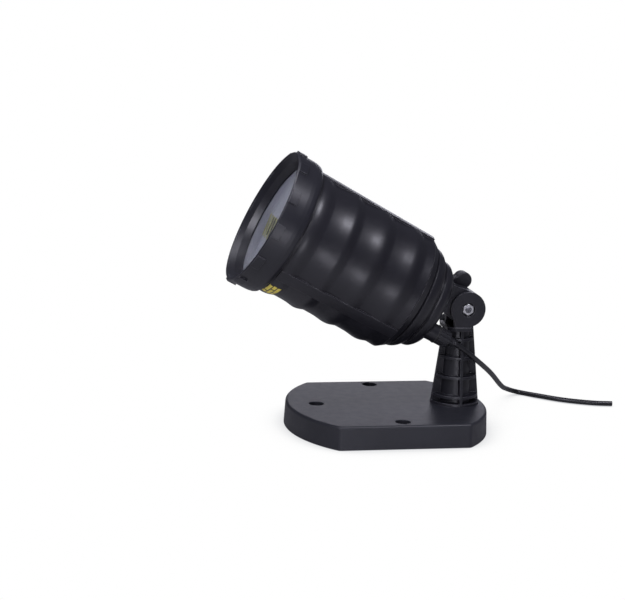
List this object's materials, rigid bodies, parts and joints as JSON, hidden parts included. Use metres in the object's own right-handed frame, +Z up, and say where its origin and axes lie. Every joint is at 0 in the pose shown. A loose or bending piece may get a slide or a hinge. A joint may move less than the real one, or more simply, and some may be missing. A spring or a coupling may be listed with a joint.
{
  "type": "garden light projector",
  "caption": "Garden laser light projector: corrugated barrel with deep bezel, tilting on a ribbed post above a flat screw-down base, with a screw-locked low-voltage lead.",
  "frame": {"origin": "centre of the base on the ground, midway between the fixing holes", "axes": "+X from the middle of the base towards the post and the lead, +Y towards the clamp knob, +Z up; the barrel aims towards -X and upwards"},
  "size_m": [0.3279, 0.1484, 0.2115],
  "materials": {
    "base_plastic": "satin moulded plastic",
    "post_plastic": "satin moulded plastic",
    "knob_plastic": "satin moulded plastic",
    "barrel_plastic": "satin moulded plastic",
    "bezel_plastic": "semi-gloss moulded plastic",
    "plug_plastic": "matt moulded plastic",
    "fastener_steel": "zinc plated",
    "nut_chrome": "bright plated",
    "seal_rubber": "matt",
    "clear_glass": "polished",
    "plate_grey": "matt pale grey",
    "film_clear": "embossed film",
    "chassis_black": "glass-filled plastic",
    "sink_aluminium": "as extruded",
    "module_brass": "turned",
    "wheel_nylon": "natural nylon",
    "board_green": "solder resist",
    "component_dark": "moulded packages",
    "label_yellow": "printed film",
    "cable_pvc": "PVC sheath",
    "wire_red": "PVC insulation"
  },
  "bodies": {
    "base": {"base_shell": "base_plastic", "base_bottom_plate": "base_plastic", "bottom_plate_screws": "fastener_steel", "support_post": "post_plastic", "post_screw": "fastener_steel", "pivot_nut": "nut_chrome"},
    "projector": {"tilt_arm": "post_plastic", "barrel_shell": "barrel_plastic", "rear_cap": "barrel_plastic", "front_bezel": "bezel_plastic", "cable_plug": "plug_plastic", "strain_relief": "plug_plastic", "inlet_socket": "plug_plastic", "rear_cap_screws": "fastener_steel", "arm_screws": "fastener_steel", "chassis_screws": "fastener_steel", "motor_screws": "fastener_steel", "board_screws": "fastener_steel", "wheel_axle": "fastener_steel", "axle_clip": "fastener_steel", "gear_motor": "fastener_steel", "rear_seal": "seal_rubber", "glass_gasket": "seal_rubber", "inlet_seal": "seal_rubber", "front_glass": "clear_glass", "aperture_plate": "plate_grey", "chassis": "chassis_black", "board_spacers": "chassis_black", "switch_carrier": "chassis_black", "heat_sink": "sink_aluminium", "laser_module_green": "module_brass", "laser_module_red": "module_brass", "driver_board": "board_green", "board_components": "component_dark", "rating_label": "label_yellow", "power_cable": "cable_pvc", "wiring_loom": "wire_red"},
    "grating_wheel": {"grating_wheel": "wheel_nylon", "grating_film": "film_clear"},
    "motor_pinion": {"motor_pinion": "module_brass"},
    "coupling_nut": {"coupling_nut": "plug_plastic"},
    "mode_button": {"mode_button": "knob_plastic"},
    "knob_washer": {"knob_washer": "fastener_steel"},
    "clamp_knob": {"clamp_knob": "knob_plastic", "clamp_stud": "fastener_steel"}
  },
  "joints": [
    {"name": "tilt", "type": "hinge", "parent": "base", "child": "projector", "pos_m": [0.0581, 0, 0.09325], "axis": [0, 1, 0], "range_deg": [-28, 40], "deforming": ["power_cable"]},
    {"name": "wheel_turn", "type": "hinge", "parent": "projector", "child": "grating_wheel", "pos_m": [-0.05581, 0, 0.15486], "axis": [-0.8854, 0, 0.4648], "continuous": true},
    {"name": "pinion_turn", "type": "hinge", "parent": "projector", "child": "motor_pinion", "pos_m": [-0.0628, 0.02825, 0.14156], "axis": [-0.8854, 0, 0.4648], "continuous": true},
    {"name": "coupling_nut_turn", "type": "hinge", "parent": "projector", "child": "coupling_nut", "pos_m": [0.03567, -0.0215, 0.07419], "axis": [0.8854, 0, -0.4648], "range_deg": [0, 360]},
    {"name": "button_press", "type": "slide", "parent": "projector", "child": "mode_button", "axis": [-0.8854, 0, 0.4648], "range_m": [0, 0.0012], "stiffness_N_per_m": 200},
    {"name": "washer_slide", "type": "slide", "parent": "base", "child": "knob_washer", "axis": [0, 1, 0], "range_m": [0, 0.000077778]},
    {"name": "knob_turn", "type": "hinge", "parent": "knob_washer", "child": "clamp_knob", "pos_m": [0.0581, 0, 0.09325], "axis": [0, 1, 0], "range_deg": [0, 35]}
  ],
  "couplings": [
    {"joint": "wheel_turn", "follows": "pinion_turn", "ratio": -0.17647},
    {"joint": "washer_slide", "follows": "knob_turn", "m_per_rad": 0.00012732}
  ]
}
